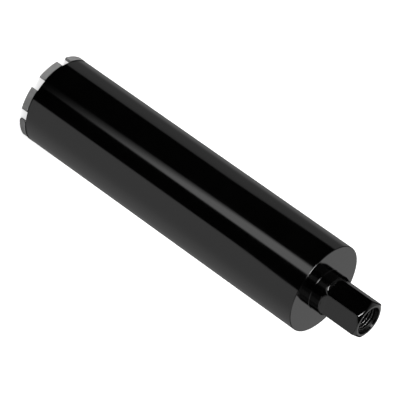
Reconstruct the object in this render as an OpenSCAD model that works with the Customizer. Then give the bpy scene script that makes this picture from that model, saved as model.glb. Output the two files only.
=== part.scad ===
// Wet diamond core bit, standing on its crown with the hub upwards.
// Z runs along the bit's axis and z = 0 is the plane of the cutting faces.
// Two of the hub's spanner flats face along X and two of its corners lie on Y.

/* [Crown] */
// Diameter of the hole that the bit cuts, over the segments
crown_d = 114; // [90:1:150]
// Number of diamond segments around the rim
segment_count = 8; // [6:1:10]
// Angle of the rim that one segment covers
segment_arc = 30; // [20:1:34]
// Angle from X to the middle of the first segment
segment_turn = 13; // [0:1:44]
// Height of a segment below the tube's rim
segment_h = 9.5; // [6:0.5:14]
// How far a segment stands proud of the tube wall, on the outside and the inside
segment_proud = 0.5; // [0.2:0.1:0.8]
// Bevel along the edges of a segment's cutting face
segment_bevel = 0.4; // [0.1:0.1:1]

/* [Barrel] */
// Length of the tube from its rim to the end plate
barrel_l = 411; // [150:1:450]
// Thickness of the tube wall
wall = 3; // [2:0.1:4]
// Deburring bevel on both edges of the tube's rim
rim_bevel = 0.4; // [0.1:0.1:0.8]

/* [End plate] */
// Thickness of the plate above the tube
plate_t = 10; // [6:1:16]
// Radius of the plate's outer edge
plate_edge_r = 1; // [0.4:0.1:2]
// Depth of the shoulder that centres the plate inside the tube
register_l = 4; // [2:0.5:8]
// Gap between that shoulder and the tube wall
register_gap = 0.1; // [0.05:0.05:0.25]

/* [Hub body] */
// Diameter of the round bar that the hub is made from, just inside the flats' corners
hub_d = 51.2; // [48:0.2:51.2]
// Height of the hub above the end plate
hub_h = 67; // [60:1:90]
// Radius of the fillet where the hub meets the end plate
foot_r = 1; // [0.5:0.1:2]
// Diameter of the spigot that passes through the end plate
spigot_d = 36; // [32:0.5:46]
// Length of the spigot below the hub's shoulder
spigot_l = 12; // [6:0.5:14]
// Gap between the spigot and the end plate's hole
spigot_gap = 0.1; // [0.05:0.05:0.25]

/* [Hub flats] */
// Distance across the spanner flats, 1 3/4 in
flats_af = 44.45; // [44.4:0.05:47]
// Height above the end plate at which the flats are at full depth
flats_start = 20; // [14:0.5:24]
// Radius of the milling cutter that leaves the run-out at the flats' lower end
cutter_r = 6.5; // [4:0.5:12]
// Diameter of the hub's front face, inside its chamfer
face_d = 40; // [37:0.5:44]
// Angle of the front chamfer, measured from the front face
chamfer_angle = 30; // [15:1:45]

/* [Hub bore] */
// Bore of the female thread over its crests, 1 1/4 in with 7 turns an inch
thread_bore_d = 28.2; // [27.9:0.1:28.5]
// Depth of the threaded bore
thread_l = 45; // [35:1:50]
// Diameter of the countersink at the mouth
mouth_d = 33.6; // [32.4:0.1:35]
// Diameter of the water passage below the thread
passage_d = 24; // [16:0.5:27]
// Bevel around both ends of the spigot's outside and bore
spigot_bevel = 0.8; // [0.2:0.1:1.2]

/* [Hidden] */
// Smoothness of every turned surface
$fn = 96;
// Cuts run past the surface that they open by this much
over = 1;

tube_r = crown_d / 2 - segment_proud;
bore_r = tube_r - wall;
rim_z = segment_h;
seat_z = rim_z + barrel_l;
plate_z = seat_z + plate_t;

hub_r = hub_d / 2;
spigot_r = spigot_d / 2;
face_r = face_d / 2;
chamfer_h = (hub_r - face_r) * tan(chamfer_angle);
thread_r = thread_bore_d / 2;
mouth_r = mouth_d / 2;
mouth_h = mouth_r - thread_r;
passage_r = passage_d / 2;
// A twist drill leaves a cone of this half angle at the bottom of its hole
drill_half_angle = 59;
drill_tip_h = (thread_r - passage_r) / tan(drill_half_angle);

segment_in_r = bore_r - segment_proud;
segment_out_r = tube_r + segment_proud;
segment_pitch = 360 / segment_count;

paint = "#141414";
sinter = "#a9a9a6";

// Tube

// Half section of the tube wall, with its rim deburred and its seat square
module barrel_section() {
    polygon([
        [bore_r + rim_bevel, rim_z],
        [tube_r - rim_bevel, rim_z],
        [tube_r, rim_z + rim_bevel],
        [tube_r, seat_z],
        [bore_r, seat_z],
        [bore_r, rim_z + rim_bevel]
    ]);
}

// Rolled steel tube, open at the crown
module barrel_tube() {
    color(paint)
    rotate_extrude()
    barrel_section();
}

// End plate

// Half section of the disc above the seat, with its outer edge rounded
module plate_section() {
    square_w = tube_r - plate_edge_r;
    translate([0, seat_z])
    square([square_w, plate_t]);
    translate([0, seat_z])
    square([tube_r, plate_t - plate_edge_r]);
    translate([square_w, plate_z - plate_edge_r])
    circle(plate_edge_r);
}

// Turned disc with a centring shoulder below it and a hole for the hub's spigot
module end_plate() {
    register_r = bore_r - register_gap;
    hole_r = spigot_r + spigot_gap;
    color(paint)
    difference() {
        union() {
            rotate_extrude()
            plate_section();
            translate([0, 0, seat_z - register_l])
            cylinder(h = register_l + over, r = register_r);
        }
        translate([0, 0, seat_z - register_l - over])
        cylinder(h = plate_t + register_l + 2 * over, r = hole_r);
    }
}

// Hub

// Half section of the turned blank: spigot, foot fillet, round body and chamfer
module hub_section() {
    polygon([
        [0, -spigot_l],
        [spigot_r - spigot_bevel, -spigot_l],
        [spigot_r, -spigot_l + spigot_bevel],
        [spigot_r, 0],
        [hub_r, 0],
        [hub_r, hub_h - chamfer_h],
        [face_r, hub_h],
        [0, hub_h]
    ]);
    translate([hub_r, 0])
    difference() {
        square(foot_r);
        translate([foot_r, foot_r])
        circle(foot_r);
    }
}

// Side view of the metal that one pass of the cutter removes beside a flat
module flat_cut_section() {
    translate([0, flats_start])
    square([hub_r, hub_h]);
    translate([cutter_r, flats_start])
    circle(cutter_r);
}

// The six milled spanner flats, each with its run-out at the lower end
module flat_cuts() {
    for (i = [0 : 5]) {
        rotate([0, 0, 60 * i])
        translate([flats_af / 2, 0, 0])
        rotate([90, 0, 0])
        linear_extrude(height = 2 * hub_r, center = true)
        flat_cut_section();
    }
}

// Half section of the bore: water passage, drill point, thread bore and countersink
module bore_section() {
    thread_end = hub_h - thread_l;
    polygon([
        [0, -spigot_l - over],
        [passage_r + spigot_bevel + over, -spigot_l - over],
        [passage_r, -spigot_l + spigot_bevel],
        [passage_r, thread_end - drill_tip_h],
        [thread_r, thread_end],
        [thread_r, hub_h - mouth_h],
        [mouth_r + over, hub_h + over],
        [0, hub_h + over]
    ]);
}

// One turned and milled piece of steel, welded into the end plate
module hub() {
    color(paint)
    translate([0, 0, plate_z])
    difference() {
        rotate_extrude()
        hub_section();
        flat_cuts();
        rotate_extrude()
        bore_section();
    }
}

// Segments

// Section across one segment, with the edges of its cutting face bevelled
module segment_section() {
    polygon([
        [segment_in_r + segment_bevel, 0],
        [segment_out_r - segment_bevel, 0],
        [segment_out_r, segment_bevel],
        [segment_out_r, rim_z],
        [segment_in_r, rim_z],
        [segment_in_r, segment_bevel]
    ]);
}

// One sintered diamond segment, counted from 1, seated on the tube's rim
module segment(number) {
    color(sinter)
    rotate([0, 0, segment_turn + segment_pitch * (number - 1) - segment_arc / 2])
    rotate_extrude(angle = segment_arc)
    segment_section();
}

barrel_tube();
end_plate();
hub();
for (i = [1 : segment_count]) {
    segment(i);
}
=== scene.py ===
"""A wet diamond core bit, standing on its crown in a white studio.

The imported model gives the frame: metres, +Z from the crown to the hub, and z = 0 in the plane of
the segments' cutting faces. The sizes below are in millimetres, as in the part's source, and turn
into metres where a mesh is made.
"""

import logging
import math
from collections.abc import Callable, Sequence
from dataclasses import dataclass
from enum import Enum
from typing import ClassVar

import bpy
import numpy as np
from mathutils import Matrix, Vector


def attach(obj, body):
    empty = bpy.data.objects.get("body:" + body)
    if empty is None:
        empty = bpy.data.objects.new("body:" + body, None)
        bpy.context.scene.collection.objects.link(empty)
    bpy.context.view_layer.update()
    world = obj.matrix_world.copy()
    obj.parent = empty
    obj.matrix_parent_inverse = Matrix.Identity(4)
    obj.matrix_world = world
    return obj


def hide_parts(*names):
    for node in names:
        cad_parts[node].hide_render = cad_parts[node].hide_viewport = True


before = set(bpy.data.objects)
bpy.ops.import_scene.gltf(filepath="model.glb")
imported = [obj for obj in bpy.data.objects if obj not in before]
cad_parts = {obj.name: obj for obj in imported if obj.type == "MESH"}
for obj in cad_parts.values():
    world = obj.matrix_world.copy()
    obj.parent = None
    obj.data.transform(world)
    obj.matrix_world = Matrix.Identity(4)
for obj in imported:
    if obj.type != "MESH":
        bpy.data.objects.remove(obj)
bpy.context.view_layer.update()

MM = 0.001
LOG = logging.getLogger("core_bit")

Material = bpy.types.Material
Mesh = bpy.types.Mesh
Socket = bpy.types.NodeSocket
Thing = bpy.types.Object
Tree = bpy.types.GeometryNodeTree
Floats = tuple[float, ...]
# Radius and height, or a direction in that plane
RingPoint = tuple[float, float]
# Where a strip begins, and the outward normals of its two ends
Strip = tuple[RingPoint, RingPoint, RingPoint]
# Radius of a rounding, and the strips along it
Rounding = tuple[float, int]
# Radius, height, rounding radius and strips of one corner
Corner = tuple[float, float, float, int]
# The two ends of a range. For a soft edge, where it is dark and where it is full
Span = tuple[float, float]

SHARP: Rounding = (0.0, 0)
RISE: Span = (0.0, 1.0)
FALL: Span = (1.0, 0.0)
# Nearly all values of a noise pattern lie in this range
NOISE: Span = (0.3, 0.7)
# Refraction of paint and of sintered metal's surface film
FILM_IOR = 1.5


class Slot(Enum):
    """Material slot names of the record. Nothing here gives a piece these slots."""

    PAINT = "black_paint"
    SINTER = "sintered_segment"


class Seen(Enum):
    """Which rays meet a thing of the studio."""

    ALL = "all"
    REFLECTIONS = "reflections"


# Numbers


def smooth(value: float, low: float, high: float) -> float:
    """Gives a smooth step.

    Args:
        value: Where to read it.
        low: Where it is 0. It may lie above high, and the step then falls.
        high: Where it is 1.

    Returns:
        A number from 0 to 1.
    """
    t = min(max((value - low) / (high - low), 0.0), 1.0)
    return t * t * (3 - 2 * t)


def wrap(angle: float, period: float = 2 * math.pi) -> float:
    """Brings an angle to within half a period of 0."""
    return (angle + period / 2) % period - period / 2


def soft_min(a: float, b: float, blend: float) -> float:
    """Returns the smaller number, blended where the two differ by less than the given length."""
    near = max(blend - abs(a - b), 0.0) / blend
    return min(a, b) - near * near * blend / 4


def grey(value: float) -> Floats:
    """Returns the opaque grey of one linear value."""
    return (value, value, value, 1.0)


# Node trees


class Board:
    """Places and joins the nodes of one shader or geometry tree."""

    def __init__(self, tree: bpy.types.NodeTree) -> None:
        """Starts on an emptied tree."""
        self.tree = tree
        self.tree.nodes.clear()

    def add(self, kind: str, inputs: dict | None = None, **settings: object) -> bpy.types.Node:
        """Adds one node.

        Args:
            kind: The node's type name.
            inputs: Socket name or index to a value, or to a socket to link from.
            **settings: The node's own properties.

        Returns:
            The new node.
        """
        node = self.tree.nodes.new(kind)
        for key, value in settings.items():
            setattr(node, key, value)
        for key, value in (inputs or {}).items():
            if isinstance(value, Socket):
                self.tree.links.new(value, node.inputs[key])
            else:
                node.inputs[key].default_value = value
        return node

    def out(self, kind: str, inputs: dict | None = None, **settings: object) -> Socket:
        """Adds one node and returns its first output."""
        return self.add(kind, inputs, **settings).outputs[0]

    def math(self, operation: str, *values: object) -> Socket:
        """Adds a Math node on numbers or sockets, and returns its result."""
        return self.out("ShaderNodeMath", dict(enumerate(values)), operation=operation)

    def remap(self, value: Socket, source: tuple, target: tuple) -> Socket:
        """Maps a number from one range to another and clamps it there."""
        names = ("Value", "From Min", "From Max", "To Min", "To Max")
        return self.out("ShaderNodeMapRange", dict(zip(names, (value, *source, *target))))

    def blend(self, factor: Socket, first: object, second: object) -> Socket:
        """Blends two colours, from the first at 0 to the second at 1."""
        inputs = {0: factor, 6: first, 7: second}
        return self.add("ShaderNodeMix", inputs, data_type="RGBA").outputs[2]

    def greys(self, factor: Socket, tones: Span) -> Socket:
        """Blends two greys."""
        return self.blend(factor, grey(tones[0]), grey(tones[1]))

    def place(self) -> Socket:
        """Returns the piece's own coordinates, in metres."""
        return self.add("ShaderNodeTexCoord").outputs["Object"]

    def noise(self, at: Socket, scale: float, detail: float = 2.0) -> Socket:
        """Adds noise with the given cells per metre and octaves of finer noise."""
        return self.out("ShaderNodeTexNoise", {"Vector": at, "Scale": scale, "Detail": detail})

    def bump(self, height: Socket, depth: float, **under: Socket) -> Socket:
        """Adds a bump of the given depth in metres, and returns the new normal."""
        inputs = {"Height": height, "Strength": 1.0, "Distance": depth, **under}
        return self.out("ShaderNodeBump", inputs)

    def upward(self, at: Socket) -> Socket:
        """Returns a vector's part along the bit's axis."""
        return self.add("ShaderNodeSeparateXYZ", {0: at}).outputs[2]

    def radius(self, at: Socket) -> Socket:
        """Returns the distance from the bit's axis, in metres."""
        flat = self.out("ShaderNodeVectorMath", {0: at, 1: (1.0, 1.0, 0.0)}, operation="MULTIPLY")
        return self.add("ShaderNodeVectorMath", {0: flat}, operation="LENGTH").outputs["Value"]

    def pass_on(self, kind: str, geometry: Socket, **inputs: object) -> Socket:
        """Passes geometry through one node, and returns what leaves it."""
        return self.out(f"GeometryNode{kind}", {"Geometry": geometry, **inputs})


def open_tree(name: str, sockets: dict[str, str]) -> tuple[Board, bpy.types.bpy_prop_collection]:
    """Starts a geometry tree.

    Args:
        name: The tree's name.
        sockets: Input name to its kind.

    Returns:
        The tree's board, and the outputs of its input node.
    """
    tree = bpy.data.node_groups.new(name, "GeometryNodeTree")
    for socket, kind in sockets.items():
        tree.interface.new_socket(socket, in_out="INPUT", socket_type=f"NodeSocket{kind}")
    tree.interface.new_socket("Geometry", in_out="OUTPUT", socket_type="NodeSocketGeometry")
    board = Board(tree)
    return board, board.add("NodeGroupInput").outputs


# Finishes


@dataclass(frozen=True)
class Finish:
    """What every finish has: a name, and the shader that its nodes build."""

    name: str

    def material(self) -> Material:
        """Builds the material.

        Returns:
            The new material, with its nodes.
        """
        made = bpy.data.materials.new(self.name)
        made.use_nodes = True
        board = Board(made.node_tree)
        board.add("ShaderNodeOutputMaterial", {"Surface": self.shade(board)})
        return made

    def shade(self, board: Board) -> Socket:
        """Builds the shader's nodes on the material's board, and returns its socket."""
        raise NotImplementedError


@dataclass(frozen=True)
class GlossPaint(Finish):
    """Jet-black stoved paint with a faint orange peel, and bare drawn steel inside a radius."""

    tones: Span = (0.0004, 0.0009)
    tone_scale: float = 35.0
    rough: Span = (0.07, 0.12)
    rough_scale: float = 22.0
    rough_detail: float = 4.0
    sway_scale: float = 16.0
    sway_depth: float = 1.0e-5
    peel_scale: float = 620.0
    peel_depth: float = 2.5e-6
    bare_radius: float = 0.0
    bare_fade: float = 0.2
    steel_tones: Span = (0.05, 0.11)
    steel_rough: float = 0.42
    streak_rough: float = 0.2
    streak_scale: Floats = (260.0, 260.0, 5.0)

    def shade(self, board: Board) -> Socket:
        """Builds paint over steel.

        Args:
            board: The material's board.

        Returns:
            The shader's socket.
        """
        at = board.place()
        colour = board.greys(board.noise(at, self.tone_scale), self.tones)
        rough = board.noise(at, self.rough_scale, self.rough_detail)
        rough = board.remap(rough, NOISE, self.rough)
        sway = board.bump(board.noise(at, self.sway_scale, 1.0), self.sway_depth)
        peel = board.bump(board.noise(at, self.peel_scale, 1.0), self.peel_depth, Normal=sway)
        inputs = {"Base Color": colour, "Roughness": rough, "IOR": FILM_IOR, "Normal": peel}
        if self.bare_radius:
            inputs |= self.bare(board, at, colour, rough)
        return board.out("ShaderNodeBsdfPrincipled", inputs)

    def bare(self, board: Board, at: Socket, colour: Socket, rough: Socket) -> dict[str, Socket]:
        """Lays drawn steel inside the bare radius.

        Args:
            board: The material's board.
            at: The piece's coordinates.
            colour: The paint's colour.
            rough: The paint's roughness.

        Returns:
            The shader inputs that change.
        """
        edge = ((self.bare_radius - self.bare_fade) * MM, self.bare_radius * MM)
        inside = board.remap(board.radius(at), edge, FALL)
        drawn = board.out("ShaderNodeMapping", {"Vector": at, "Scale": self.streak_scale})
        streak = board.noise(drawn, 1.0, 3.0)
        steel_rough = board.math("MULTIPLY_ADD", streak, self.streak_rough, self.steel_rough)
        sides = {0: inside, 2: rough, 3: steel_rough}
        mixed = board.out("ShaderNodeMix", sides, data_type="FLOAT")
        blended = board.blend(inside, colour, board.greys(streak, self.steel_tones))
        return {"Base Color": blended, "Roughness": mixed, "Metallic": inside}


@dataclass(frozen=True)
class ThreadSteel(Finish):
    """Black-painted thread whose crests are rubbed back towards bare steel."""

    tones: Span = (0.003, 0.22)
    crest: Span = (14.1, 14.45)
    crest_top: Span = (493.65, 493.75)
    wear_scale: float = 300.0
    wear_noise: Span = (0.3, 0.6)
    wear: Span = (0.5, 1.0)
    metallic: float = 0.8
    rough: Span = (0.32, 0.42)
    rough_scale: float = 500.0
    cone: Span = (15.9, 16.1)
    cone_polish: float = 0.24
    sheen: float = 0.08
    grain_scale: float = 1500.0
    grain_depth: float = 6.0e-6

    def shade(self, board: Board) -> Socket:
        """Builds the thread's shader.

        Args:
            board: The material's board.

        Returns:
            The shader's socket.
        """
        at = board.place()
        radius = board.radius(at)
        crest, top, cone = (
            tuple(end * MM for end in span) for span in (self.crest, self.crest_top, self.cone)
        )
        patchy = board.remap(board.noise(at, self.wear_scale, 3.0), self.wear_noise, self.wear)
        worn = board.math("MULTIPLY", board.remap(radius, crest, FALL), patchy)
        worn = board.math("MULTIPLY", worn, board.remap(board.upward(at), top, FALL))
        rough = board.remap(board.noise(at, self.rough_scale), NOISE, self.rough)
        on_cone = board.remap(radius, cone, RISE)
        inputs = {
            "Base Color": board.greys(worn, self.tones),
            "Metallic": board.math("MULTIPLY", worn, self.metallic),
            "Roughness": board.math("MULTIPLY_ADD", on_cone, -self.cone_polish, rough),
            "IOR": FILM_IOR,
            "Specular IOR Level": self.sheen,
            "Normal": board.bump(board.noise(at, self.grain_scale), self.grain_depth),
        }
        return board.out("ShaderNodeBsdfPrincipled", inputs)


@dataclass(frozen=True)
class SinteredMatrix(Finish):
    """Pressed and sintered metal powder: matt grey, grainy, with pores, and near-black in a band along
    its root.
    """

    tones: Span = (0.21, 0.33)
    tone_noise: Span = (0.35, 0.65)
    grain_scale: float = 2600.0
    grain_share: float = 0.6
    cloud_scale: float = 120.0
    pore: float = 0.09
    pore_scale: float = 900.0
    pore_size: Span = (0.10, 0.22)
    pore_shade: float = 0.6
    # Near-black tone of the band along the segment's root, next to the tube
    paint: float = 0.002
    root: float = 9.5
    top_band: float = 0.45
    top_band_wave: float = 0.3
    top_band_fade: float = 0.12
    metallic: float = 0.2
    rough: Span = (0.48, 0.66)
    relief: float = 3.0e-5

    def shade(self, board: Board) -> Socket:
        """Builds the powder metal's shader.

        Args:
            board: The material's board.

        Returns:
            The shader's socket.
        """
        at = board.place()
        grain = board.noise(at, self.grain_scale, 3.0)
        cloud = board.noise(at, self.cloud_scale, 3.0)
        tone = board.math("MULTIPLY", cloud, 1.0 - self.grain_share)
        tone = board.math("MULTIPLY_ADD", grain, self.grain_share, tone)
        colour = board.greys(board.remap(tone, self.tone_noise, RISE), self.tones)
        cells = board.out("ShaderNodeTexVoronoi", {"Vector": at, "Scale": self.pore_scale})
        pores = board.remap(cells, self.pore_size, FALL)
        shaded = board.math("MULTIPLY", pores, self.pore_shade)
        colour = board.blend(shaded, colour, grey(self.pore))
        # The segment turns near-black, and is not metallic, in a wavy band below its root, next to the
        # tube
        lowest = (self.root - self.top_band - self.top_band_wave / 2) * MM
        edge = board.math("MULTIPLY_ADD", cloud, self.top_band_wave * MM, lowest)
        full = board.math("ADD", edge, self.top_band_fade * MM)
        in_top_band = board.remap(board.upward(at), (edge, full), RISE)
        bare = board.math("SUBTRACT", 1.0, in_top_band)
        inputs = {
            "Base Color": board.blend(in_top_band, colour, grey(self.paint)),
            "Metallic": board.math("MULTIPLY", bare, self.metallic),
            "Roughness": board.remap(grain, NOISE, self.rough),
            "IOR": FILM_IOR,
            "Normal": board.bump(board.math("SUBTRACT", grain, pores), self.relief),
        }
        return board.out("ShaderNodeBsdfPrincipled", inputs)


@dataclass(frozen=True)
class DiamondGrit(Finish):
    """Synthetic diamond crystals, pale greyish yellow."""

    pale: Floats = (0.36, 0.35, 0.27, 1.0)
    deep: Floats = (0.22, 0.21, 0.15, 1.0)
    tone_scale: float = 700.0
    rough: Span = (0.1, 0.25)
    refraction: float = 2.1

    def shade(self, board: Board) -> Socket:
        """Builds the crystals' shader.

        Args:
            board: The material's board.

        Returns:
            The shader's socket.
        """
        tone = board.noise(board.place(), self.tone_scale)
        colour = board.blend(tone, self.pale, self.deep)
        rough = board.remap(tone, NOISE, self.rough)
        inputs = {"Base Color": colour, "Roughness": rough, "IOR": self.refraction}
        return board.out("ShaderNodeBsdfPrincipled", inputs)


@dataclass(frozen=True)
class Glow(Finish):
    """A studio card that shines by the brightness stored on its mesh."""

    def shade(self, board: Board) -> Socket:
        """Builds the card's shader on the material's board, and returns its socket."""
        strength = board.add("ShaderNodeAttribute", attribute_name="glow").outputs["Fac"]
        return board.out("ShaderNodeEmission", {"Color": grey(1.0), "Strength": strength})


@dataclass(frozen=True)
class PaleFloor(Finish):
    """White studio floor. It shows as white to the camera and in gloss, and takes a soft shadow."""

    colour: float = 0.85
    roughness: float = 0.5
    camera_glow: float = 0.72
    gloss_glow: float = 0.25

    def shade(self, board: Board) -> Socket:
        """Builds the floor's shader.

        Args:
            board: The material's board.

        Returns:
            The shader's socket.
        """
        rays = board.add("ShaderNodeLightPath").outputs
        gloss = board.math("MAXIMUM", rays["Is Glossy Ray"], rays["Is Transmission Ray"])
        gloss = board.math("MULTIPLY", gloss, self.gloss_glow)
        strength = board.math("MULTIPLY_ADD", rays["Is Camera Ray"], self.camera_glow, gloss)
        glow = board.out("ShaderNodeEmission", {"Color": grey(1.0), "Strength": strength})
        inputs = {"Color": grey(self.colour), "Roughness": self.roughness}
        return board.out("ShaderNodeAddShader", {0: board.out("ShaderNodeBsdfDiffuse", inputs), 1: glow})


# Turned shapes


def fillet_points(
    before: RingPoint, corner: RingPoint, after: RingPoint, radius: float, steps: int
) -> tuple[list[RingPoint], list[RingPoint]]:
    """Rounds one corner of an outline.

    Args:
        before: The corner before it.
        corner: The corner itself.
        after: The corner after it.
        radius: Radius of the rounding.
        steps: Strips along the arc.

    Returns:
        The arc's points, and the outward normal at each.
    """
    a0 = math.atan2(corner[1] - before[1], corner[0] - before[0])
    turn = wrap(math.atan2(after[1] - corner[1], after[0] - corner[0]) - a0)
    reach = radius * math.tan(abs(turn) / 2)
    bend = math.copysign(radius, turn)
    start = (corner[0] - reach * math.cos(a0), corner[1] - reach * math.sin(a0))
    centre = (start[0] - bend * math.sin(a0), start[1] + bend * math.cos(a0))
    angles = [a0 + turn * k / steps for k in range(steps + 1)]
    points = [(centre[0] + bend * math.sin(a), centre[1] - bend * math.cos(a)) for a in angles]
    return points, [(math.sin(a), -math.cos(a)) for a in angles]


def rounded_outline(corners: Sequence[Corner]) -> list[Strip]:
    """Makes a closed outline of straight runs and rounded corners.

    Each strip carries the normals of its own two ends, so that an edge can be sharp and a fillet
    is smooth all the way.

    Args:
        corners: The corners in order, with the metal on the left of the path. A rounding radius
            of 0 keeps a corner sharp.

    Returns:
        The outline's strips.
    """
    arcs = []
    count = len(corners)
    for i, (r, z, rounding, steps) in enumerate(corners):
        before, after = corners[i - 1][:2], corners[(i + 1) % count][:2]
        rounded = rounding > 0
        arc = fillet_points(before, (r, z), after, rounding, steps) if rounded else ([(r, z)], [])
        arcs.append(arc)
    outline = []
    for i, (points, normals) in enumerate(arcs):
        outline += zip(points, normals, normals[1:])
        begin, target = points[-1], arcs[(i + 1) % count][0][0]
        length = math.dist(begin, target)
        normal = ((target[1] - begin[1]) / length, -(target[0] - begin[0]) / length)
        outline.append((begin, normal, normal))
    return outline


def sweep_mesh(name: str, angles: np.ndarray, section: Callable[[float], list[Strip]]) -> Mesh:
    """Sweeps a section once round the axis. The section may change with the angle.

    Args:
        name: The mesh's name.
        angles: The columns' angles in radians, in rising order.
        section: Gives the outline at an angle, always with the same number of strips.

    Returns:
        A closed mesh in metres with exact normals.
    """
    small = 1e-4
    strips, ahead, behind = (
        np.array([section(float(a) + off) for a in angles]) for off in (0.0, small, -small)
    )
    rate = (ahead[:, :, 0] - behind[:, :, 0]) / (2 * small)
    rows = strips[:, :, 0]
    cos, sin = np.cos(angles)[:, None], np.sin(angles)[:, None]
    points = np.stack([rows[..., 0] * cos, rows[..., 0] * sin, rows[..., 1]], axis=-1) * MM

    def spatial(flat: np.ndarray, shift: int) -> np.ndarray:
        """Turns the half-plane's normals into normals in space.

        Args:
            flat: Normals in the half-plane, one for each strip.
            shift: 0 for the strips' first rows and 1 for their last.

        Returns:
            The unit normals.
        """
        here, slope = np.roll(rows, -shift, axis=1), np.roll(rate, -shift, axis=1)
        outward = flat[..., 0]
        around = -(outward * slope[..., 0] + flat[..., 1] * slope[..., 1]) / here[..., 0]
        parts = [outward * cos - around * sin, outward * sin + around * cos, flat[..., 1]]
        out = np.stack(parts, axis=-1)
        return out / np.linalg.norm(out, axis=-1, keepdims=True)

    first, last = spatial(strips[:, :, 1], 0), spatial(strips[:, :, 2], 1)
    n_col, n_row = rows.shape[:2]
    i, j = np.meshgrid(np.arange(n_col), np.arange(n_row), indexing="ij")
    i2, j2 = (i + 1) % n_col, (j + 1) % n_row
    quads = [i * n_row + j, i2 * n_row + j, i2 * n_row + j2, i * n_row + j2]
    corner_normals = np.stack([first[i, j], first[i2, j], last[i2, j], last[i, j]], axis=-2)
    faces = np.stack(quads, axis=-1).reshape(-1, 4)
    mesh = mesh_of(name, points.reshape(-1, 3).tolist(), faces.tolist())
    mesh.shade_smooth()
    mesh.normals_split_custom_set(corner_normals.reshape(-1, 3).tolist())
    return mesh


def mesh_of(name: str, points: Sequence, faces: Sequence) -> Mesh:
    """Makes a mesh.

    Args:
        name: Its name.
        points: Its points, in metres.
        faces: Each face's points, by number.

    Returns:
        The new mesh.
    """
    mesh = bpy.data.meshes.new(name)
    mesh.from_pydata(points, [], faces)
    return mesh


def turned_mesh(name: str, corners: Sequence[Corner], columns: int) -> Mesh:
    """Turns one outline round the axis.

    Args:
        name: The mesh's name.
        corners: The outline's corners.
        columns: Columns round the axis.

    Returns:
        The closed mesh.
    """
    outline = rounded_outline(corners)
    angles = np.arange(columns) * 2 * math.pi / columns
    return sweep_mesh(name, angles, lambda _: outline)


# Pieces


def show(name: str, mesh: Mesh, finish: Finish | None = None) -> Thing:
    """Puts a mesh into the scene.

    Args:
        name: The object's name.
        mesh: Its mesh.
        finish: Its finish, if the mesh has none yet.

    Returns:
        The new object, at the origin.
    """
    thing = bpy.data.objects.new(name, mesh)
    bpy.context.scene.collection.objects.link(thing)
    if finish:
        mesh.materials.append(finish.material())
    return thing


def run_tree(carrier: Thing, tree: Tree, values: dict[str, object]) -> Thing:
    """Runs a geometry tree on a carrier, after its other modifiers, and keeps the plain mesh.

    Args:
        carrier: The object that the tree starts from. It is removed.
        tree: The tree.
        values: Input name to value.

    Returns:
        The plain piece, under the carrier's name.
    """
    modifier = carrier.modifiers.new(tree.name, "NODES")
    modifier.node_group = tree
    for item in tree.interface.items_tree:
        if item.item_type == "SOCKET" and item.in_out == "INPUT" and item.name in values:
            modifier[item.identifier] = values[item.name]
    evaluated = carrier.evaluated_get(bpy.context.evaluated_depsgraph_get())
    name, mesh = carrier.name, bpy.data.meshes.new_from_object(evaluated)
    bpy.data.objects.remove(carrier)
    return show(name, mesh)


def turn_inward(mesh: Mesh) -> None:
    """Turns all faces towards the axis.

    Args:
        mesh: A mesh whose faces all point the same way round the axis.
    """
    pull = 0.0
    for face in mesh.polygons:
        pull += (face.normal.x * face.center.x + face.normal.y * face.center.y) * face.area
    if pull > 0:
        mesh.flip_normals()


def report(piece: Thing) -> None:
    """Logs a finished piece's name and its number of triangles."""
    piece.data.calc_loop_triangles()
    LOG.info("%s: %d triangles", piece.name, len(piece.data.loop_triangles))


# The bit


@dataclass
class Barrel:
    """The painted tube. Its upper corners stay sharp, because the weld there is dressed flush."""

    outer: float = 56.5
    inner: float = 53.5
    rim: float = 9.5
    seat: float = 420.5
    bevel: float = 0.4
    soft: Rounding = (0.12, 3)
    bare_margin: float = 0.35
    columns: int = 256

    def build(self) -> Mesh:
        """Makes the tube's mesh.

        Returns:
            The closed mesh.
        """
        corners = [
            (self.inner + self.bevel, self.rim, *self.soft),
            (self.outer - self.bevel, self.rim, *self.soft),
            (self.outer, self.rim + self.bevel, *self.soft),
            (self.outer, self.seat, *SHARP),
            (self.inner, self.seat, *SHARP),
            (self.inner, self.rim + self.bevel, *self.soft),
        ]
        return turned_mesh("painted_barrel", corners, self.columns)

    def dress(self) -> Thing:
        """Paints the tube and lets it stand for its node.

        Returns:
            The finished piece.
        """
        paint = GlossPaint("barrel_paint", bare_radius=self.inner + self.bare_margin)
        piece = show("painted_barrel", self.build(), paint)
        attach(piece, "root")
        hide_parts("barrel_tube")
        return piece


@dataclass
class EndPlate:
    """The disc that closes the tube, with its centring shoulder and its hole for the hub."""

    outer: float = 56.5
    hole: float = 18.1
    register: float = 53.4
    bottom: float = 416.5
    seat: float = 420.5
    top: float = 430.5
    edge: Rounding = (0.85, 10)
    hole_soft: Rounding = (0.3, 2)
    register_soft: Rounding = (0.4, 3)
    columns: int = 256

    def build(self) -> Mesh:
        """Makes the plate's mesh.

        Returns:
            The closed mesh.
        """
        corners = [
            (self.hole, self.bottom, *self.hole_soft),
            (self.register, self.bottom, *self.register_soft),
            (self.register, self.seat, *SHARP),
            (self.outer, self.seat, *SHARP),
            (self.outer, self.top, *self.edge),
            (self.hole, self.top, *self.hole_soft),
        ]
        return turned_mesh("painted_end_plate", corners, self.columns)

    def dress(self) -> Thing:
        """Paints the plate and lets it stand for its node.

        Returns:
            The finished piece.
        """
        piece = show("painted_end_plate", self.build(), GlossPaint("plate_paint"))
        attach(piece, "root")
        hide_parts("end_plate")
        return piece


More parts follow.
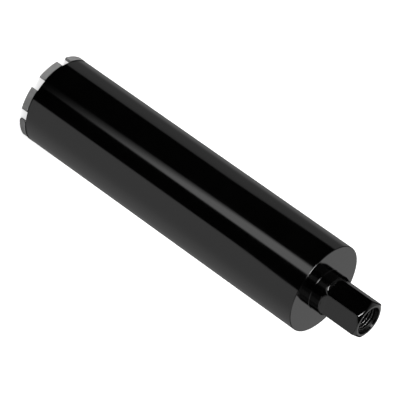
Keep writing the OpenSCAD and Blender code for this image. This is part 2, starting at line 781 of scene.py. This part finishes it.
@dataclass
class Hub:
    """The turned and milled hub: collar, six flats with run-outs, chamfer, bore and spigot.

    Heights are above the end plate. The bore's wall lies just behind the thread's lining.
    """

    base: float = 430.5
    height: float = 67.0
    bar: float = 25.6
    foot: float = 0.6
    foot_steps: int = 8
    spigot: float = 18.0
    spigot_length: float = 12.0
    flat: float = 22.225
    flats_start: float = 20.0
    cutter: float = 6.5
    face: float = 20.0
    chamfer: float = math.radians(30)
    mouth: float = 17.9
    lining: float = 16.35
    bore_end: float = 21.2
    drill_half_angle: float = math.radians(59)
    passage: float = 12.0
    bevel: float = 0.8
    blend: float = 0.45
    corner_blend: float = 0.7
    corner_blend_depth: float = 3.0
    flat_reach: float = math.radians(50)
    shoulder_soft: Rounding = (2.2, 6)
    face_soft: Rounding = (0.3, 4)
    mouth_soft: Rounding = (0.3, 3)
    passage_soft: Rounding = (0.2, 2)
    bevel_soft: Rounding = (0.15, 2)
    columns_per_flat: int = 26
    # Rows up to the run-out and above it, as shares of the way
    low_rows: Floats = (0.0, 0.5, 0.9)
    high_rows: Floats = (0.12, 0.25, 0.4, 0.55, 0.7, 0.85, 1.0)
    # Rows about the run-out, as lengths from its edge
    edge_rows: Floats = (-0.7, -0.45, -0.25, -0.1, 0.0, 0.12, 0.28, 0.5, 0.8)
    # Height of the last close row above the start of the flats, and share of the last row of all
    close_above: float = 1.5
    last_row: float = 0.6

    def side(self, angle: float, z: float) -> float:
        """Gives the hub's radius on its side.

        Args:
            angle: Angle round the axis.
            z: Height above the plate.

        Returns:
            The radius, with every edge a little rounded.
        """
        drop = max(self.flats_start - z, 0.0)
        if drop >= self.cutter:
            return self.bar
        cut = self.flat + self.cutter - math.sqrt(self.cutter**2 - drop**2)
        radius = self.bar
        blend = self.blend + self.corner_blend * smooth(drop, 0.0, self.corner_blend_depth)
        for i in range(6):
            off = wrap(angle - i * math.pi / 3)
            if abs(off) < self.flat_reach:
                radius = soft_min(radius, cut / math.cos(off), blend)
        return radius

    def side_heights(self, angle: float) -> list[float]:
        """Gives the heights of the rows on the hub's side, close together at the cut's run-out.

        Args:
            angle: Angle round the axis.

        Returns:
            The heights, upwards.
        """
        depth = max(self.bar * math.cos(wrap(angle, math.pi / 3)) - self.flat, 0.0)
        edge = self.flats_start - math.sqrt(max(2 * self.cutter * depth - depth * depth, 0.0))
        near = [edge + d for d in self.edge_rows]
        low = [self.foot + (near[0] - self.foot) * t for t in self.low_rows]
        top = self.flats_start + self.close_above
        above = [near[-1] + (top - near[-1]) * t for t in self.high_rows]
        return low + near + above + [self.height * self.last_row]

    def section(self, angle: float) -> list[Strip]:
        """Gives the hub's outline at an angle.

        Args:
            angle: Angle round the axis.

        Returns:
            The closed outline, in the object's frame.
        """
        path = (self.bar + self.foot, 0.0), (self.bar, 0.0), (self.bar, self.height)
        points, normals = fillet_points(*path, self.foot, self.foot_steps)
        outline = list(zip(points, normals, normals[1:]))
        heights = self.side_heights(angle)
        points = [(self.side(angle, z), z) for z in heights]
        small = 1e-3
        normals = []
        for z in heights:
            slope = (self.side(angle, z + small) - self.side(angle, z - small)) / (2 * small)
            length = math.hypot(1.0, slope)
            normals.append((1.0 / length, -slope / length))
        normals[0] = normals[-1] = (1.0, 0.0)
        outline += zip(points[:-1], normals, normals[1:])
        outline += self.crown_and_bore(*points[-1])
        return [((r, z + self.base), begin, end) for (r, z), begin, end in outline]

    def crown_and_bore(self, radius: float, start: float) -> list[Strip]:
        """Gives the outline from the flats over the front face, down the bore and to the foot.

        Args:
            radius: The side's radius at this angle.
            start: Height of the side's last row.

        Returns:
            The open run of strips.
        """
        shoulder = self.height - (radius - self.face) * math.tan(self.chamfer)
        cone_foot = self.bore_end - (self.lining - self.passage) / math.tan(self.drill_half_angle)
        tail = -self.spigot_length
        corners = [
            (radius, start, *SHARP),
            (radius, shoulder, *self.shoulder_soft),
            (self.face, self.height, *self.face_soft),
            (self.mouth, self.height, *self.mouth_soft),
            (self.lining, self.height - self.mouth + self.lining, *SHARP),
            (self.lining, self.bore_end, *SHARP),
            (self.passage, cone_foot, *self.passage_soft),
            (self.passage, tail + self.bevel, *self.bevel_soft),
            (self.passage + self.bevel, tail, *self.bevel_soft),
            (self.spigot - self.bevel, tail, *self.bevel_soft),
            (self.spigot, tail + self.bevel, *self.bevel_soft),
            (self.spigot, 0.0, *SHARP),
            (self.bar + self.foot, 0.0, *SHARP),
        ]
        return rounded_outline(corners)[:-1]

    def build(self) -> Mesh:
        """Makes the hub's mesh, with its columns close together at the hexagon's corners.

        Returns:
            The closed mesh.
        """
        half = self.columns_per_flat // 2
        steps = [math.sin(math.pi / 2 * k / half) * math.pi / 6 for k in range(-half, half)]
        angles = np.array([i * math.pi / 3 + s for i in range(6) for s in steps])
        return sweep_mesh("painted_hub", angles, self.section)

    def dress(self) -> Thing:
        """Paints the hub and lets it stand for its node.

        Returns:
            The finished piece.
        """
        piece = show("painted_hub", self.build(), GlossPaint("hub_paint"))
        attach(piece, "root")
        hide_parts("hub")
        return piece


@dataclass
class HubThread:
    """The female thread with its countersink, made by a geometry tree as one helical lining."""

    LENGTHS: ClassVar = ("pitch", "major", "minor", "crest", "flank", "bottom", "top", "mouth")

    top: float = 497.45
    bottom: float = 451.6
    pitch: float = 25.4 / 7
    major: float = 15.875
    minor: float = 14.1
    crest: float = 1.05
    flank: float = 1.025
    mouth: float = 17.8
    rubbed: float = 0.35
    fade: float = 0.1
    run_in_turns: float = 1.3
    weld: float = 0.002
    sharp_angle: float = math.radians(35)
    samples: int = 18
    steps: int = 96

    def tree(self) -> Tree:
        """Builds the geometry tree of the helical lining.

        Returns:
            The tree, whose inputs have the names of the fields.
        """
        kinds = dict.fromkeys(self.LENGTHS, "Float")
        kinds |= {"turns": "Float", "samples": "Int", "steps": "Int", "material": "Material"}
        board, given = open_tree("thread_lining", kinds)
        pitch, major, minor, crest, flank, bottom, top, mouth = (given[k] for k in self.LENGTHS)

        rows = board.math("MULTIPLY_ADD", given["turns"], given["samples"], 1.0)
        columns = board.math("ADD", given["steps"], 1.0)
        grid = board.out("GeometryNodeMeshGrid", {"Vertices X": rows, "Vertices Y": columns})
        at = board.add("ShaderNodeSeparateXYZ", {0: board.out("GeometryNodeInputPosition")}).outputs
        along = board.math("MULTIPLY", board.math("ADD", at[0], 0.5), given["turns"])
        around = board.math("ADD", at[1], 0.5)
        lead = board.math("SUBTRACT", board.math("ADD", along, around), 1.0)
        height = board.math("MULTIPLY_ADD", lead, pitch, bottom)

        in_turn = board.math("SUBTRACT", board.math("FRACT", along), 0.5)
        across = board.math("MULTIPLY", board.math("ABSOLUTE", in_turn), pitch)
        half_crest = board.math("MULTIPLY", crest, 0.5)
        flank_end = board.math("ADD", half_crest, flank)
        cut = board.remap(across, (half_crest, flank_end), (minor, major))
        fade_end = board.math("MULTIPLY_ADD", pitch, self.run_in_turns, bottom)
        depth = board.remap(height, (bottom, fade_end), RISE)
        threaded = board.math("MULTIPLY_ADD", board.math("SUBTRACT", cut, minor), depth, minor)
        cone = board.math("SUBTRACT", mouth, board.math("SUBTRACT", top, height))
        radius = board.math("MAXIMUM", threaded, board.math("MINIMUM", cone, mouth))

        angle = board.math("MULTIPLY", around, 2 * math.pi)
        x = board.math("MULTIPLY", radius, board.math("COSINE", angle))
        y = board.math("MULTIPLY", radius, board.math("SINE", angle))
        z = board.math("MINIMUM", board.math("MAXIMUM", height, bottom), top)
        place = board.out("ShaderNodeCombineXYZ", {0: x, 1: y, 2: z})
        wound = board.pass_on("SetPosition", grid, Position=place)
        closed = board.pass_on("MergeByDistance", wound, Distance=self.weld * MM)
        real = board.pass_on("RealizeInstances", closed)
        done = board.pass_on("SetMaterial", real, Material=given["material"])
        board.add("NodeGroupOutput", {"Geometry": done})
        return board.tree

    def dress(self) -> Thing:
        """Winds the thread and gives it its finish.

        Returns:
            The finished piece.
        """
        end = self.top - self.mouth + self.minor
        spans = {"crest": (self.minor, self.minor + self.rubbed), "crest_top": (end - self.fade, end)}
        values = {name: getattr(self, name) * MM for name in self.LENGTHS}
        values |= {"samples": self.samples, "steps": self.steps}
        values["turns"] = float(math.ceil((self.top - self.bottom) / self.pitch) + 1)
        values["material"] = ThreadSteel("thread_steel", **spans).material()
        carrier = show("hub_thread", bpy.data.meshes.new("hub_thread"))
        piece = run_tree(carrier, self.tree(), values)
        turn_inward(piece.data)
        piece.data.shade_smooth()
        piece.data.set_sharp_from_angle(angle=self.sharp_angle)
        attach(piece, "root")
        return piece


@dataclass
class Segments:
    """The sintered segments on the rim: a grey matrix with diamond grit standing out a little."""

    count: int = 8
    arc: float = 30.0
    first: float = 13.0
    inner: float = 53.0
    outer: float = 57.0
    height: float = 9.5
    bevel: float = 0.4
    steps: int = 16
    soft: float = 0.15
    soft_angle: float = math.radians(25)
    proud: float = 0.1
    grit: float = 0.2
    grit_least: float = 0.6
    full_turn: float = 6.283
    seat_facing: float = 0.5
    density: float = 4.5e5
    seed: int = 7

    def body(self, number: int) -> Mesh:
        """Makes one segment's matrix, short of the full size by the height of the grit.

        Args:
            number: The segment's number, from 1.

        Returns:
            The closed mesh.
        """
        inner, outer, low = self.inner + self.proud, self.outer - self.proud, self.proud
        section = [
            (inner + self.bevel, low),
            (outer - self.bevel, low),
            (outer, low + self.bevel),
            (outer, self.height),
            (inner, self.height),
            (inner, low + self.bevel),
        ]
        middle = math.radians(self.first + 360.0 / self.count * (number - 1))
        half = math.radians(self.arc / 2) - self.proud / self.outer
        angles = [middle - half + 2 * half * k / self.steps for k in range(self.steps + 1)]
        vertices = [
            (r * math.cos(a) * MM, r * math.sin(a) * MM, z * MM) for a in angles for r, z in section
        ]
        n = len(section)
        faces = [tuple(range(n))]
        for i in range(self.steps):
            for j in range(n):
                k = (j + 1) % n
                faces.append((i * n + j, (i + 1) * n + j, (i + 1) * n + k, i * n + k))
        faces.append(tuple(reversed(range(self.steps * n, self.steps * n + n))))
        mesh = mesh_of(f"diamond_segment_{number}", vertices, faces)
        mesh.shade_smooth()
        return mesh

    def tree(self) -> Tree:
        """Builds the geometry tree that sets the grit into a segment's surface.

        Returns:
            The tree, with named inputs.
        """
        kinds = {"Geometry": "Geometry", "density": "Float", "grit": "Float", "bury": "Float"}
        kinds |= {"seed": "Int", "matrix finish": "Material", "grit finish": "Material"}
        board, given = open_tree("set_grit", kinds)
        body, seed = given["Geometry"], given["seed"]

        upward = board.upward(board.out("GeometryNodeInputNormal"))
        settings = {"data_type": "FLOAT", "operation": "LESS_THAN"}
        open_side = board.out("FunctionNodeCompare", {0: upward, 1: self.seat_facing}, **settings)
        inputs = {"Mesh": body, "Selection": open_side, "Density": given["density"], "Seed": seed}
        strewn = board.add("GeometryNodeDistributePointsOnFaces", inputs).outputs
        inputs = {0: strewn["Normal"], 3: board.math("MULTIPLY", given["bury"], -1.0)}
        sink = board.out("ShaderNodeVectorMath", inputs, operation="SCALE")
        sunk = board.pass_on("SetPosition", strewn["Points"], Offset=sink)

        crystal = board.out("GeometryNodeMeshIcoSphere", {"Radius": 1.0, "Subdivisions": 1})
        inputs = {"Geometry": crystal, "Name": "grit", "Value": True}
        settings = {"data_type": "BOOLEAN", "domain": "FACE"}
        marked = board.out("GeometryNodeStoreNamedAttribute", inputs, **settings)
        inputs = {0: (0.0, 0.0, 0.0), 1: (self.full_turn,) * 3, "Seed": seed}
        turn = board.out("FunctionNodeRandomValue", inputs, data_type="FLOAT_VECTOR")
        inputs = {2: self.grit_least, 3: 1.0, "Seed": seed}
        size = board.add("FunctionNodeRandomValue", inputs, data_type="FLOAT").outputs[1]
        inputs = {"Points": sunk, "Instance": marked, "Rotation": turn}
        inputs["Scale"] = board.math("MULTIPLY", size, given["grit"])
        placed = board.out("GeometryNodeInstanceOnPoints", inputs)

        both = board.add("GeometryNodeJoinGeometry")
        for part in (placed, body):
            board.tree.links.new(part, both.inputs[0])
        real = board.pass_on("RealizeInstances", both.outputs[0])
        inputs = {"Name": "grit"}
        is_grit = board.out("GeometryNodeInputNamedAttribute", inputs, data_type="BOOLEAN")
        inputs = {"Geometry": real, "Selection": is_grit, "Shade Smooth": False}
        flat = board.out("GeometryNodeSetShadeSmooth", inputs)
        base = board.pass_on("SetMaterial", flat, Material=given["matrix finish"])
        finish = given["grit finish"]
        done = board.pass_on("SetMaterial", base, Selection=is_grit, Material=finish)
        board.add("NodeGroupOutput", {"Geometry": done})
        return board.tree

    def dress(self) -> list[Thing]:
        """Makes every segment and lets it stand for its node.

        Returns:
            The finished pieces.
        """
        tree = self.tree()
        values = {
            "density": self.density,
            "grit": self.grit * MM,
            "bury": (self.grit - self.proud) * MM,
            "matrix finish": SinteredMatrix("sintered_matrix").material(),
            "grit finish": DiamondGrit("diamond_grit").material(),
        }
        pieces = []
        for number in range(1, self.count + 1):
            body = self.body(number)
            carrier = show(body.name, body)
            soften = carrier.modifiers.new("edges", "BEVEL")
            soften.width = self.soft * MM
            soften.segments = 2
            soften.limit_method = "ANGLE"
            soften.angle_limit = self.soft_angle
            soften.harden_normals = True
            piece = run_tree(carrier, tree, values | {"seed": self.seed + number})
            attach(piece, "root")
            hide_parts(f"segment_{number}")
            pieces.append(piece)
        return pieces


# Camera and studio


@dataclass(frozen=True)
class StudioCamera:
    """The photograph's viewpoint: a long lens, the bit's axis lying aslant in the picture."""

    place: Floats = (-0.3570, -3.1463, 1.8480)
    azimuth: float = -6.45
    elevation: float = 26.953
    roll: float = 125.33
    lens: float = 277.37
    sensor: float = 36.0
    clip: Span = (0.05, 60.0)

    def build(self) -> Thing:
        """Makes the camera and gives it to the scene.

        Returns:
            The camera object.
        """
        data = bpy.data.cameras.new("studio_camera")
        data.sensor_width = self.sensor
        data.lens = self.lens
        data.clip_start, data.clip_end = self.clip
        camera = bpy.data.objects.new("studio_camera", data)
        camera.matrix_world = (
            Matrix.Translation(self.place)
            @ Matrix.Rotation(math.radians(self.azimuth), 4, "Z")
            @ Matrix.Rotation(math.radians(90 - self.elevation), 4, "X")
            @ Matrix.Rotation(math.radians(self.roll), 4, "Z")
        )
        bpy.context.scene.collection.objects.link(camera)
        bpy.context.scene.camera = camera
        return camera


@dataclass(frozen=True)
class Band:
    """A bright band that the barrel mirrors along its whole length.

    Angles are in degrees round the barrel, from the side nearest to the camera. The band's edge
    drifts on the way up to the hub. Each soft step has the change of brightness, where it starts
    and where it is complete.
    """

    glow: float
    edge: float
    drift: float
    drift_start: float
    soft: float
    steps: tuple[Floats, ...]

    def at(self, theta: float, up: float) -> float:
        """Gives the band's brightness.

        Args:
            theta: Angle round the barrel.
            up: Share of the way from the rim to the hub.

        Returns:
            The brightness there.
        """
        edge = self.edge + self.drift * smooth(up, self.drift_start, 1.0)
        glow = self.glow + sum(change * smooth(theta, low, high) for change, low, high in self.steps)
        return glow * smooth(theta, edge - self.soft, edge + self.soft)


@dataclass(frozen=True)
class MiddleStrip:
    """The bright strip near the barrel's middle, which sharpens and brightens towards the hub."""

    begin: float = -11.8
    drift: float = -2.1
    drift_end: float = 0.8
    ramp: float = 8.5
    ramp_loss: float = 5.7
    ramp_loss_up: Span = (0.3, 0.88)
    end: Span = (-1.7, -3.7)
    least: float = 0.05
    gain: float = 2.05
    gain_up: Span = (-0.02, 0.6)

    def at(self, theta: float, up: float) -> float:
        """Gives the strip's brightness.

        Args:
            theta: Angle round the barrel.
            up: Share of the way from the rim to the hub.

        Returns:
            The brightness there.
        """
        begin = self.begin + self.drift * smooth(up, 0.0, self.drift_end)
        ramp = self.ramp - self.ramp_loss * smooth(up, *self.ramp_loss_up)
        rise = min(max((theta - begin) / ramp, 0.0), 1.0)
        return rise * smooth(theta, *self.end) * (self.least + self.gain * smooth(up, *self.gain_up))


@dataclass(frozen=True)
class Patch:
    """A bright patch of the surroundings with soft edges, in degrees round and above the bit."""

    glow: float
    sides: tuple[Span, ...]
    levels: tuple[Span, ...]

    def at(self, azimuth: float, elevation: float) -> float:
        """Gives the patch's brightness in a direction."""
        across = math.prod(smooth(azimuth, *edge) for edge in self.sides)
        return self.glow * across * math.prod(smooth(elevation, *edge) for edge in self.levels)


@dataclass(frozen=True)
class Window(Patch):
    """The wide window behind the bit. It opens out upwards, more on its left than on its right."""

    reach: float = 33.0
    reach_level: float = 27.0
    left_slope: float = 1.1
    right_slope: float = 0.6
    soft: Span = (5.0, -3.0)

    def at(self, azimuth: float, elevation: float) -> float:
        """Gives the window's brightness.

        Args:
            azimuth: Degrees round the bit, from the camera's side.
            elevation: Degrees above the bit's shoulder.

        Returns:
            The brightness in that direction.
        """
        slope = self.left_slope if azimuth > 0 else self.right_slope
        reach = self.reach + slope * (elevation - self.reach_level)
        across = smooth(180.0 - abs(azimuth), *(reach + end for end in self.soft))
        return across * super().at(azimuth, elevation)


@dataclass
class Studio:
    """Floor, world, soft lamp, and the cards whose reflections draw the bands on the gloss paint.

    Places on the bit are in millimetres, and the studio's own sizes in metres.
    """

    camera: Vector
    near: float = math.radians(-96.45)
    barrel: float = 56.5
    rim: float = 9.5
    top: float = 430.5
    eye: float = 0.465
    floor_half: float = 12.0
    ambient: float = 0.55

    # The card on the floor, which the barrel mirrors
    high_band: Band = Band(
        0.34, edge=-46.2, drift=-3.8, drift_start=0.6, soft=-1.0,
        steps=((-0.12, -50.0, -64.0), (0.1, -64.0, -70.0), (-0.1, -75.0, -81.0), (-0.08, -79.0, -86.0)),
    )
    low_band: Band = Band(
        0.84, edge=15.8, drift=2.7, drift_start=0.75, soft=0.6,
        steps=((-0.2, 17.0, 48.0), (-0.34, 46.0, 76.0), (-0.11, 75.0, 81.0), (-0.08, 79.0, 86.0)),
    )
    strip: MiddleStrip = MiddleStrip()
    card_height: float = 0.0006
    card_turn: float = 89.5
    card_columns: int = 717
    # Rows about the rim, as lengths from it, and the rows beyond the card's reach
    rim_rows: Floats = (-9.0, -0.1, 0.0, 0.7, 1.9)
    first_row: float = 9.0
    row_count: int = 55
    reach: float = 505.0
    reach_fade: float = 25.0
    far_rows: Floats = (515.0, 530.0, 560.0, 620.0, 700.0, 790.0, 880.0)
    # The tube's lowest millimetre mirrors less towards the outlines
    seam: float = 1.0
    seam_loss: float = 0.65
    seam_turn: Span = (48.0, 62.0)

    # The surroundings, which the dome shows, and the floor's card beyond its reach
    window: Window = Window(0.7, (), ((70.0, 62.0), (-14.0, -6.0)))
    tall_strip: Patch = Patch(1.0, ((-28.0, -24.0), (-2.0, -6.0)), ((86.0, 80.0),))
    tall_least: float = 0.95
    tall_gain: float = 3.0
    tall_gain_levels: Span = (30.0, 60.0)
    bright_lamp: Patch = Patch(22.0, ((-45.0, -39.0), (-10.0, -16.0)), ((31.0, 35.0),))
    bright_front: Span = (0.06, 0.14)
    wall: Patch = Patch(0.8, ((58.0, 68.0), (98.0, 90.0)), ((64.0, 56.0),))
    wide_wall: Patch = Patch(0.32, ((38.0, 48.0), (130.0, 118.0)), ((60.0, 50.0),))
    far_wall: Patch = Patch(0.17, ((-50.0, -58.0), (-118.0, -106.0)), ((62.0, 52.0),))
    dome_sectors: int = 144
    dome_radius: float = 2.9
    dome_foot: float = 0.45
    dome_top: float = 89.5
    dome_step: float = 1.25
    foot_rows: Floats = (1.0, 0.75, 0.5, 0.25, 0.005)

    # The key lamp
    key_place: Floats = (-2.2, -0.9, 1.1)
    key_aim: float = 0.2
    key_size: float = 1.6
    key_power: float = 45.0

    def floor_point(self, theta: float, height: float) -> Vector:
        """Follows the camera's ray off the barrel down to the floor.

        Args:
            theta: Degrees round the barrel, from the side nearest to the camera.
            height: Millimetres up the barrel's wall, or up its line above it.

        Returns:
            Where the mirrored ray meets the floor, in metres.
        """
        a = self.near + math.radians(theta)
        normal = Vector((math.cos(a), math.sin(a), 0.0))
        point = normal * (self.barrel * MM) + Vector((0.0, 0.0, height * MM))
        ray = (point - self.camera).normalized()
        ray -= 2 * ray.dot(normal) * normal
        return point - ray * (point.z / ray.z)

    def card_glow(self, theta: float, height: float, spot: Vector) -> float:
        """Gives the floor card's brightness.

        Args:
            theta: Degrees round the barrel, from the side nearest to the camera.
            height: Millimetres up the barrel's wall, or up its line above it.
            spot: Where the mirrored ray meets the floor.

        Returns:
            The brightness there.
        """
        own = 0.0
        if height >= self.rim:
            up = min((height - self.rim) / (self.top - self.rim), 1.0)
            own = sum(light.at(theta, up) for light in (self.high_band, self.low_band, self.strip))
        if height < self.rim + self.seam:
            own *= 1.0 - self.seam_loss * smooth(abs(theta), *self.seam_turn)
        beyond = smooth(height, self.reach, self.reach + self.reach_fade)
        return own * (1.0 - beyond) + self.surround(spot) * beyond

    def floor_card(self) -> None:
        """Lays the card that the barrel mirrors, just above the floor."""
        heights = [self.rim + d for d in self.rim_rows]
        heights += np.linspace(self.rim + self.first_row, self.reach, self.row_count).tolist()
        heights += self.far_rows
        vertices, glows = [], []
        for theta in np.linspace(-self.card_turn, self.card_turn, self.card_columns).tolist():
            for height in heights:
                spot = self.floor_point(theta, height)
                vertices.append((spot.x, spot.y, self.card_height))
                glows.append(self.card_glow(theta, height, spot))
        n = len(heights)
        faces = []
        for i in range(self.card_columns - 1):
            for j in range(i * n, i * n + n - 1):
                faces.append((j, j + n, j + n + 1, j + 1))
        self.glow_card(mesh_of("floor_card", vertices, faces), glows)

    def surround(self, spot: Vector) -> float:
        """Gives the brightness of the surroundings, as the hub and the plate mirror them.

        Args:
            spot: A point of the surroundings, in metres.

        Returns:
            Its brightness.
        """
        ray = (spot - Vector((0.0, 0.0, self.eye))).normalized()
        toward = ray.x * math.cos(self.near) + ray.y * math.sin(self.near)
        side = ray.y * math.cos(self.near) - ray.x * math.sin(self.near)
        at = (math.degrees(math.atan2(side, toward)), math.degrees(math.asin(ray.z)))
        tall = self.tall_least + self.tall_gain * smooth(at[1], *self.tall_gain_levels)
        lights = self.window.at(*at) + self.tall_strip.at(*at) * tall
        lights += self.bright_lamp.at(*at) * smooth(toward, *self.bright_front)
        return lights + max(self.wall.at(*at), self.wide_wall.at(*at)) + self.far_wall.at(*at)

    def dome(self) -> None:
        """Raises the dome over the bit, on an upright foot."""
        n, radius, foot = self.dome_sectors, self.dome_radius, self.dome_foot
        rises = np.radians(np.arange(self.dome_top, 0.0, -self.dome_step)).tolist()
        profile = [(radius * math.cos(e), foot + radius * math.sin(e)) for e in rises]
        profile += [(radius, foot * share) for share in self.foot_rows]
        turns = [2 * math.pi * sector / n for sector in range(n)]
        vertices = [(r * math.cos(a), r * math.sin(a), z) for r, z in profile for a in turns]
        faces = [tuple(range(n))]
        for ring in range(len(profile) - 1):
            for sector in range(n):
                a, b = ring * n + sector, ring * n + (sector + 1) % n
                faces.append((a, a + n, b + n, b))
        glows = [self.surround(Vector(v)) for v in vertices]
        self.glow_card(mesh_of("dome", vertices, faces), glows)

    def glow_card(self, mesh: Mesh, glows: list[float]) -> None:
        """Stages a card that shines by the brightness at each of its points."""
        mesh.attributes.new("glow", "FLOAT", "POINT").data.foreach_set("value", glows)
        self.card(mesh, Glow(mesh.name))

    def card(self, mesh: Mesh, finish: Finish, seen: Seen = Seen.REFLECTIONS) -> None:
        """Stages one thing of the studio.

        Args:
            mesh: Its mesh.
            finish: Its finish.
            seen: Which rays meet it.
        """
        thing = show(mesh.name, mesh, finish)
        if seen is Seen.REFLECTIONS:
            for rays in ("camera", "diffuse", "transmission", "volume_scatter", "shadow"):
                setattr(thing, f"visible_{rays}", False)

    def floor(self) -> None:
        """Lays the pale floor."""
        half = self.floor_half
        corners = [(-half, -half, 0), (half, -half, 0), (half, half, 0), (-half, half, 0)]
        self.card(mesh_of("floor", corners, [(0, 1, 2, 3)]), PaleFloor("pale_floor"), Seen.ALL)

    def world(self) -> None:
        """Makes the white world: full white where it is seen, softer where it lights."""
        world = bpy.data.worlds.new("white_studio")
        world.use_nodes = True
        board = Board(world.node_tree)
        rays = board.add("ShaderNodeLightPath").outputs
        seen = board.math("MAXIMUM", rays["Is Camera Ray"], rays["Is Glossy Ray"])
        seen = board.math("MAXIMUM", seen, rays["Is Transmission Ray"])
        strength = board.remap(seen, RISE, (self.ambient, 1.0))
        light = board.out("ShaderNodeBackground", {"Color": grey(1.0), "Strength": strength})
        board.add("ShaderNodeOutputWorld", {"Surface": light})
        bpy.context.scene.world = world

    def key_lamp(self) -> None:
        """Hangs the soft key lamp on the side from which the photograph is lit."""
        data = bpy.data.lights.new("key_lamp", "AREA")
        data.shape = "RECTANGLE"
        data.size = data.size_y = self.key_size
        data.energy = self.key_power
        lamp = bpy.data.objects.new("key_lamp", data)
        place = Vector(self.key_place)
        away = place - Vector((0.0, 0.0, self.key_aim))
        turn = away.to_track_quat("Z", "Y").to_matrix().to_4x4()
        lamp.matrix_world = Matrix.Translation(place) @ turn
        lamp.visible_glossy = False
        bpy.context.scene.collection.objects.link(lamp)

    def build(self) -> None:
        """Sets up the whole studio."""
        self.floor()
        self.floor_card()
        self.world()
        self.key_lamp()
        self.dome()


def main() -> None:
    """Builds the camera, the studio and the bit, and reports each piece."""
    logging.basicConfig(level=logging.INFO, format="%(message)s")
    bpy.context.scene.view_settings.view_transform = "Standard"
    camera = StudioCamera().build()
    Studio(camera=camera.matrix_world.translation.copy()).build()
    pieces = [Barrel().dress(), EndPlate().dress(), Hub().dress(), HubThread().dress()]
    pieces += Segments().dress()
    for piece in pieces:
        report(piece)


if __name__ == "__main__":
    main()
